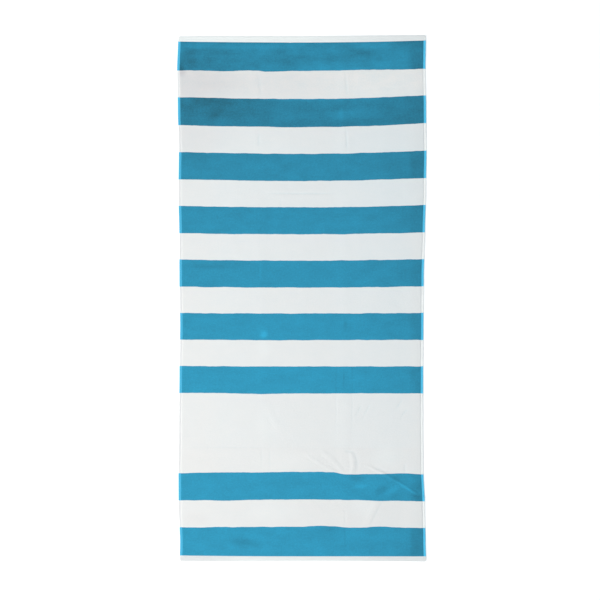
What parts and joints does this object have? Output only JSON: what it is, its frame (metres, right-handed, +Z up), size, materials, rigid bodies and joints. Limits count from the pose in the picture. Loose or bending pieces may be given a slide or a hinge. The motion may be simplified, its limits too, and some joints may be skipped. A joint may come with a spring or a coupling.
{
  "type": "beach towel",
  "caption": "Large rectangular striped beach towel lying flat, soft pile cloth hemmed on all sides, for drying off or lying on.",
  "frame": {"origin": "middle of the towel's box, on the surface that the towel lies on", "axes": "+X across the towel, +Y along it towards the end with the narrower bands, +Z up out of its face"},
  "size_m": [0.759, 1.6014, 0.0038],
  "materials": {
    "striped_terry": "soft matt cotton pile in light blue and white bands",
    "sewing_thread": "matt white polyester-cotton thread"
  },
  "bodies": {
    "root": {"towel": "striped_terry"}
  },
  "joints": []
}
